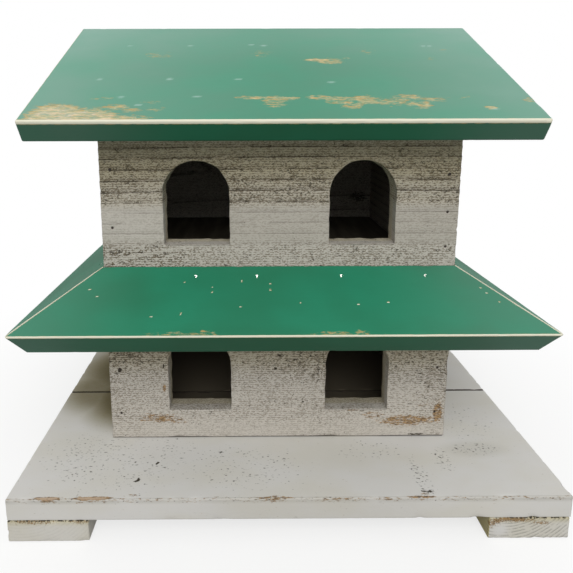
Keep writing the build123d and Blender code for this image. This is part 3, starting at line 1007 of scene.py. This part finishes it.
# the side walls' inner faces: dark bare wood, partly painted shade, full below and a tenth above
for number, (storey, side) in enumerate(product(("lower", "upper"), ("left", "right"))):
    low, high = box_of(f"{storey}_{side}_wall")
    gable = storey == "upper"
    depth = high[1] - low[1]
    height = high[2] - low[2] - gable * depth / 2 * ROOF_SLOPE
    board(f"{storey}_{side}_board", f"{storey}_{side}_wall", "white_paint", white_y, (depth, height, BOARD),
          SIDE_CELL, upright(low, high, LEFT if side == "left" else RIGHT), seed=40 + number,
          stops=[(0.0, depth / 2, depth), (0.0, height), (0.0, BOARD)],
          shape=gabled(depth, height) if gable else None, pith=(220.0, 40.0), sway=5.0, spacing=8.5,
          marks=inner_face(0.1 if gable else 1.0), figure=0.6, sawn=0.5, stain=0.2)

# %% [markdown]
# ## The roofs
# A roof board's block runs along the eave, up the slope and up through the thickness. The bend lays it
# on the slope: its upper edge is cut plumb, its eave square. In front the paint has worn through at the
# left end of the eave and in a row of patches above it, and small pale specks lie over the rest. These
# marks are placed by u from the left verge and v down from the ridge.

# %% Roof boards
ROOF_EDGE = (2.8, 1.8)  # the bare arris in mm, down the eave and back over the top
ROOF_VERGE = (1.0, 1.3)
ROOF_SPECK = (5.0, 2.0, 0.6)
ROOF_WEAR = [(26, 180, 34, 30, 1.45), (50, 184, 44, 26, 1.35), (84, 186, 30, 13, 1.15),
             (108, 187, 20, 5, 0.9), (238, 80, 20, 5, 1.2), (250, 85, 20, 6, 1.2), (266, 77, 9, 4, 0.9),
             (250, 82, 26, 11, 0.8), (176, 151, 22, 5, 1.0), (196, 155, 18, 12, 0.98),
             (208, 152, 14, 5, 1.05), (196, 162, 16, 9, 0.92), (232, 151, 20, 7, 0.98),
             (248, 156, 22, 13, 0.98), (255, 164, 16, 10, 0.98), (270, 155, 22, 13, 1.0),
             (286, 159, 20, 12, 0.95), (303, 152, 20, 10, 1.0), (309, 163, 16, 12, 1.0),
             (324, 155, 16, 7, 1.0), (58, 152, 16, 5, 0.9), (72, 166, 18, 8, 1.0), (84, 171, 14, 6, 0.9),
             (98, 158, 16, 5, 0.8), (104, 169, 14, 6, 0.8), (90, 69, 24, 12, 0.72),
             (188, 66, 18, 14, 0.70), (363, 58, 9, 3, 0.9), (345, 79, 9, 7, 0.7), (290, 62, 16, 14, 0.66),
             (363, 168, 9, 4, 1.1), (398, 156, 9, 6, 1.0), (130, 186, 30, 3, 0.75), (345, 152, 20, 5, 0.7)]
ROOF_SPECKS = [(59, 47), (118, 47), (178, 45), (190, 47), (47, 118), (107, 118), (166, 119), (245, 125),
               (133, 149), (346, 49), (352, 49), (72, 150), (88, 163), (365, 170)]


def down_the_slope(p, length, thickness, pitch):
    """Run and drop from the top edge: the block's y is stretched so that the top end stands plumb."""
    slope = np.radians(pitch)
    depth = thickness - p[:, 2]
    plumb = depth * np.tan(slope)
    along = plumb + (1 - p[:, 1] / length) * (length - plumb)
    run = along * np.cos(slope) - depth * np.sin(slope)
    drop = along * np.sin(slope) + depth * np.cos(slope)
    return run, drop


def rubbed_arris(down, back, face_width, top_width):
    """1 at the arris and 0.5 at the band's width, both down the outer face and back over the top."""
    return np.clip(1 - np.maximum(down / face_width, back / top_width) / 2, 0, 1)


def roof_bend(side, low, high, length):
    """Lay the block on its slope, from the ridge's height down; side is -1 for the front."""
    def bend(p):
        run, drop = down_the_slope(p, length, BOARD, ROOF_PITCH)
        x = low[0] + p[:, 0] if side < 0 else high[0] - p[:, 0]
        return np.stack([x, side * run, high[2] - drop], axis=1)
    return bend


def roof_marks(width, length, front):
    """Cream arrises, a painted sheen towards the sides and the ridge, painted shade on the eave face, a
    darker underside; in front patches and specks.
    """
    def marks(local, points):
        u, v = local[:, 0], length - local[:, 1]
        depth = BOARD - local[:, 2]
        arris = rubbed_arris(depth, local[:, 1], *ROOF_EDGE)
        verge = 0.85 * rubbed_arris(depth, local[:, 0], *ROOF_VERGE)
        specks = front * spots(u, v, [(*place, *ROOF_SPECK) for place in ROOF_SPECKS])
        sides = np.abs(u / width - 0.52) * 2
        # a painted sheen of reflected light, stronger towards the sides and the ridge, with the pale specks
        haze = np.maximum(0.13 + 0.18 * sides ** 1.5 + 0.10 * (1 - smooth(v, 0, 110)), specks)
        at_eave = (local[:, 1] < SKIN) & (depth > SKIN)
        return {"wear": front * (depth < SKIN) * spots(u, v, ROOF_WEAR),
                "edge": np.maximum(arris, verge),
                # on the eave face the painted sheen grows towards its ends
                "haze": np.where(at_eave, 0.02 + 0.22 * smooth(sides, 0.35, 0.9), haze),
                # painted shade on the eave face; the underside is darker
                "stain": np.where(at_eave, 0.64, np.where(local[:, 2] < BOARD / 2, 0.4, 0.0))}
    return marks


roof_length = (roof_high[1] - roof_low[1]) / 2 / np.cos(np.radians(ROOF_PITCH))
for name, side, cell, seed in (("front", -1, 1.9, 50), ("back", 1, 4.0, 51)):
    low, high = box_of("roof_" + name)
    width = high[0] - low[0]
    board("roof_board_" + name, "roof_" + name, "green_paint", green_x, (width, roof_length, BOARD), cell,
          roof_bend(side, low, high, roof_length), seed=seed, ease=1.6, pith=(80.0, -160.0), rough=0.35,
          chips=0.5, marks=roof_marks(width, roof_length, side < 0))

# %% [markdown]
# ## The skirt
# A skirt panel lies on its slope as a roof board does, but it also narrows towards the wall, because
# its ends are mitred at 45 degrees in plan. One panel is made for the front, and the others are the
# same surface turned by quarter turns, each as long as its wall. Its marks are placed by u from the
# house's middle and v down from the wall.

# %% Skirt boards
SKIRT_EDGE = (1.4, 1.0)
SKIRT_HIP = (0.9, 1.0)
SKIRT_SPECK = (2.1, 2.1, 0.62)
SKIRT_WEAR = [(-82, 68, 48, 5, 0.82), (-60, 67, 22, 5, 0.72), (40, 68, 34, 5, 0.82), (60, 66, 10, 6, 0.70),
              (-140, 2, 12, 2.5, 0.5)]
SKIRT_SPECKS = [(-82, 18), (-58, 23), (-58, 28), (-33, 17), (-9, 20), (-9, 26), (-153, 32), (-161, 25),
                (168, 25), (171, 30), (178, 39), (87, 39), (62, 41), (15, 39), (-105, 52), (-82, 49),
                (-34, 43)]
SKIRT_SLOPE = np.radians(SKIRT_PITCH)


def skirt_bend(turns, wall, reach, length):
    """Lay on the slope, widen with the run, stand off from the house's middle, turn by quarter turns."""
    def bend(p):
        half = wall / 2 + SKIRT_OVERHANG
        run, drop = down_the_slope(p, length, SKIRT_BOARD, SKIRT_PITCH)
        x = (p[:, 0] / half - 1) * (wall / 2 + run - HIP_GAP / np.sqrt(2))
        y = -reach - run
        for _ in range(turns):
            x, y = -y, x
        return np.stack([x + HOUSE_MIDDLE, y, SKIRT_TOP - drop], axis=1)
    return bend


def skirt_marks(wall, length, turns):
    """A thin cream eave line, rubbed hips, a painted sheen at the ends, painted shade on the eave face
    and the side panels, a darker underside; in front wear and specks.
    """
    front = turns == 0
    # painted shade: the side panels darker than the front, which is darkened a little
    shade = 0.25 if turns % 2 else 0.08

    def marks(local, points):
        half = wall / 2 + SKIRT_OVERHANG
        depth = SKIRT_BOARD - local[:, 2]
        v = length - local[:, 1]
        u = (local[:, 0] / half - 1) * (wall / 2 + v * np.cos(SKIRT_SLOPE))
        arris = rubbed_arris(depth, local[:, 1], *SKIRT_EDGE)
        hip = 0.9 * rubbed_arris(depth, np.minimum(local[:, 0], 2 * half - local[:, 0]), *SKIRT_HIP)
        specks = front * spots(u, v, [(*place, *SKIRT_SPECK) for place in SKIRT_SPECKS])
        ends = smooth(np.abs(u + 15 * front), half * 0.35, half * 1.1)
        at_eave = (local[:, 1] < SKIN) & (depth > SKIN)
        return {"wear": front * (depth < SKIN) * spots(u, v, SKIRT_WEAR),
                "edge": np.maximum.reduce([arris, hip, specks]),
                # painted sheen, growing towards the ends
                "haze": np.where(at_eave, 0.02 + 0.16 * ends, 0.02 + 0.12 * ends),
                # painted shade on the eave face; the underside is darker; the panels as set above
                "stain": np.where(at_eave, 0.66, np.where(local[:, 2] < SKIRT_BOARD / 2, 0.4, shade))}
    return marks


skirt_length = SKIRT_OVERHANG / np.cos(SKIRT_SLOPE)
for turns, name in enumerate(("front", "right", "back", "left")):
    wall, reach = (HOUSE_DEPTH, HOUSE_WIDTH / 2) if turns % 2 else (HOUSE_WIDTH, HOUSE_DEPTH / 2)
    half_eave = wall / 2 + SKIRT_OVERHANG
    widened = half_eave / (wall / 2 + SKIRT_NAIL_FROM_WALL)
    nail_y = skirt_length - SKIRT_NAIL_FROM_WALL / np.cos(SKIRT_SLOPE)
    nails = [(half_eave + share * wall / 2 * widened, nail_y) for share in SKIRT_NAIL_SHARES]
    board("skirt_board_" + name, "skirt_" + name, "green_paint", green_y if turns % 2 else green_x,
          (2 * half_eave, skirt_length, SKIRT_BOARD), 3.4 if turns else 1.8,
          skirt_bend(turns, wall, reach, skirt_length), seed=60 + turns, nails=nails, pit=SKIRT_NAIL_PIT,
          pith=(50.0, -120.0), rough=0.35, chips=0.5, marks=skirt_marks(wall, skirt_length, turns))

# %% [markdown]
# ## Inside wood and nails
# The partitions and the middle floor keep their CAD form. They are pine that was never painted: matt,
# greyed by years of weather, with bands and fibres along the grain. The nails are steel, punched a
# little below the paint: rusted dark and dull in the walls, and still bright in the skirt, where they
# catch the light as small white points; their near-white colour is partly a painted highlight.

# %% Materials of the CAD pieces that stay
GREY_WOOD = linear("#5d5546")
GREY_WOOD_DARK = linear("#3f382c")


def bare_wood(name):
    """Grey-brown pine with darker bands and fibres along the frame's y."""
    material, node = new_material(name)
    fibres = grain_of(node, 2.0, drawn_out("Y", 9.0), 3.0, 0.6)
    bands = grain_of(node, 11.0, drawn_out("Y", 8.0), 2.0)
    colour = coats(node, GREY_WOOD, (node("MapRange", bands, 0.35, 0.65), GREY_WOOD_DARK),
                   (node("MapRange", fibres, 0.45, 0.7, 0.0, 0.5), GREY_WOOD_DARK))
    bump = node("Bump", {"Height": fibres, "Strength": 0.5, "Distance": 0.3 * MM})
    node("OutputMaterial", node("BsdfPrincipled", {"Base Color": colour, "Roughness": 0.8, "Normal": bump}))
    return material


def nail_steel(name, metal, spot, roughness, metallic):
    """Steel of one colour with small spots of another."""
    material, node = new_material(name)
    share = node("MapRange", grain_of(node, 0.8, (1.0, 1.0, 1.0)), 0.4, 0.6)
    colour = coats(node, linear(metal), (share, linear(spot)))
    steel = {"Base Color": colour, "Roughness": roughness, "Metallic": metallic}
    node("OutputMaterial", node("BsdfPrincipled", steel))
    return material


inside_wood = bare_wood("weathered_bare_pine")
rusty_steel = nail_steel("rusted_nail_steel", "#3a3029", "#241d18", 0.7, 0.2)
# near-white steel, its glints painted in as a highlight
bright_steel_with_glint = nail_steel("bright_nail_steel", "#eceae4", "#cfccc4", 0.35, 0.6)
for name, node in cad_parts.items():
    steel = bright_steel_with_glint if name == "skirt_nails" else rusty_steel
    node.data.materials.clear()
    node.data.materials.append(steel if name.endswith("nails") else inside_wood)
print("materials given to", len(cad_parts), "CAD pieces")

# %% [markdown]
# ## Finish
# The boxes of the plain and of the dressed model are kept side by side. Paint and wear go inwards,
# so the second never leaves the first.

# %% Compare the boxes and finish
low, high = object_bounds()
{"cad": [list(cad_low), list(cad_high)], "visual": [list(low), list(high)]}
print("the dressed box in mm:", [round(x / MM, 1) for x in (*low, *high)])
